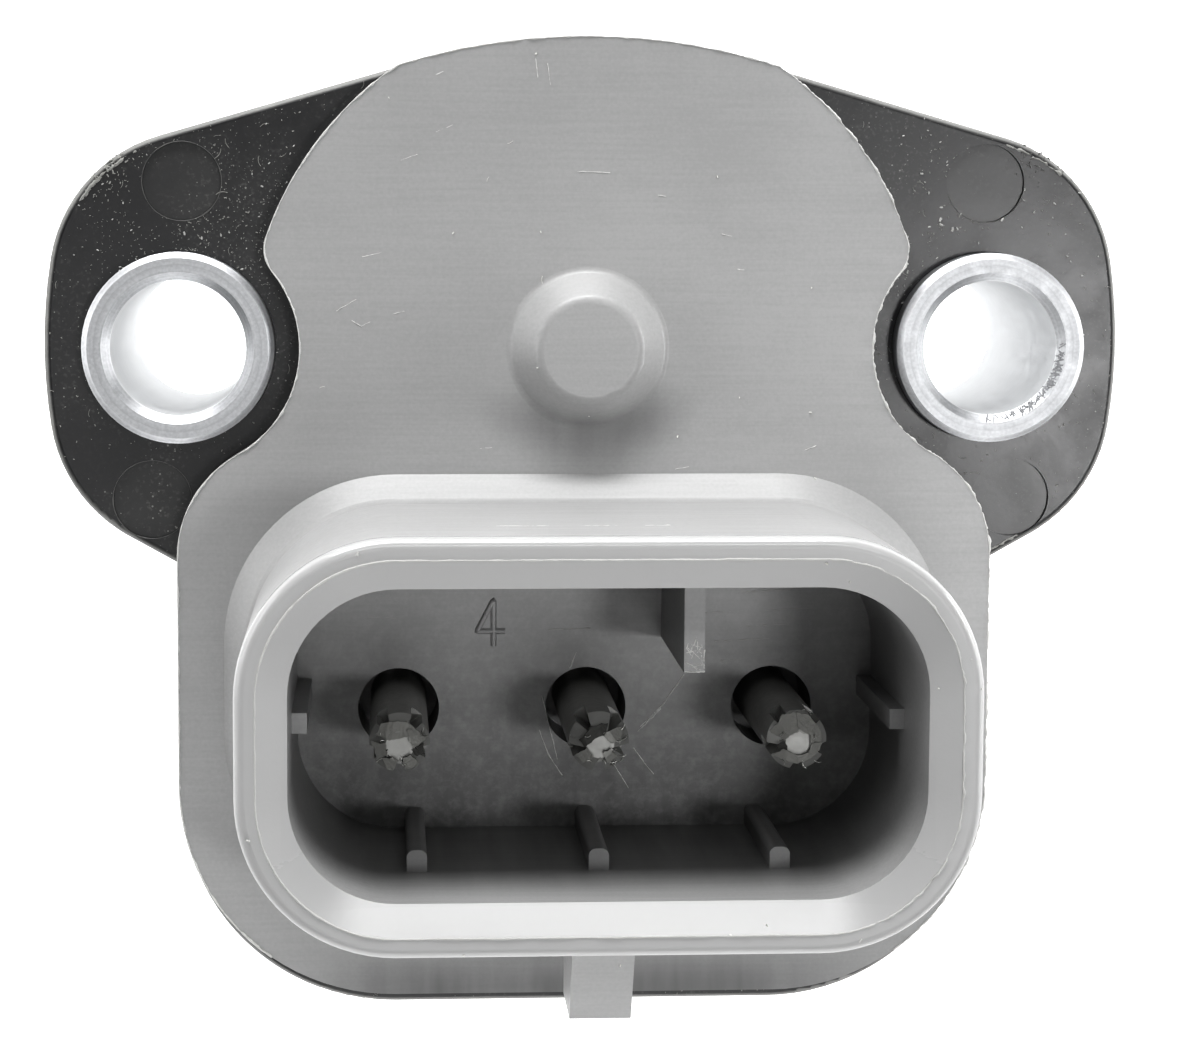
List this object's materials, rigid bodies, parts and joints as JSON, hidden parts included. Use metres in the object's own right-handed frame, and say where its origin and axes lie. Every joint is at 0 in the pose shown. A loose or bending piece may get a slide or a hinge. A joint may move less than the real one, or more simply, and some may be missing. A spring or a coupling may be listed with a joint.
{
  "type": "throttle position sensor",
  "caption": "Throttle position sensor: moulded housing with screw sleeves in its ears, a keyed oval connector shroud with round pins, and a sprung rotor with a drive socket.",
  "frame": {"origin": "on the rotor axis, in the mounting face, midway between the two screw holes", "axes": "+Z along the rotor axis, from the mounting face towards the connector; +X along the line of the screw holes; the connector is on the -Y side"},
  "size_m": [0.0466, 0.0423, 0.0229],
  "materials": {
    "black_polyester": "black glass-filled polyester, satin mould finish",
    "grey_polyester": "grey glass-filled polyester, fine mould texture",
    "sleeve_steel": "turned steel, bright zinc",
    "tinned_brass": "brass, dull tin plate",
    "rotor_acetal": "natural acetal",
    "spring_steel": "drawn stainless wire",
    "nickel_silver": "thin spring sheet",
    "board_laminate": "phenolic laminate with carbon print",
    "seal_rubber": "moulded rubber",
    "washer_nylon": "natural nylon"
  },
  "bodies": {
    "housing": {"base_housing": "black_polyester", "connector_cover": "grey_polyester", "left_sleeve": "sleeve_steel", "right_sleeve": "sleeve_steel", "left_terminal": "tinned_brass", "centre_terminal": "tinned_brass", "right_terminal": "tinned_brass", "return_spring": "spring_steel", "track_board": "board_laminate", "board_rivets": "tinned_brass"},
    "rotor": {"rotor": "rotor_acetal", "wiper": "nickel_silver", "rotor_seal": "seal_rubber", "thrust_washer": "washer_nylon"}
  },
  "joints": [
    {"name": "rotor_turn", "type": "hinge", "parent": "housing", "child": "rotor", "pos_m": [0, 0, 0], "axis": [0, 0, 1], "range_deg": [0, 105], "stiffness_Nm_per_rad": 0.0036, "springref_deg": -83.65, "deforming": ["return_spring"]}
  ]
}
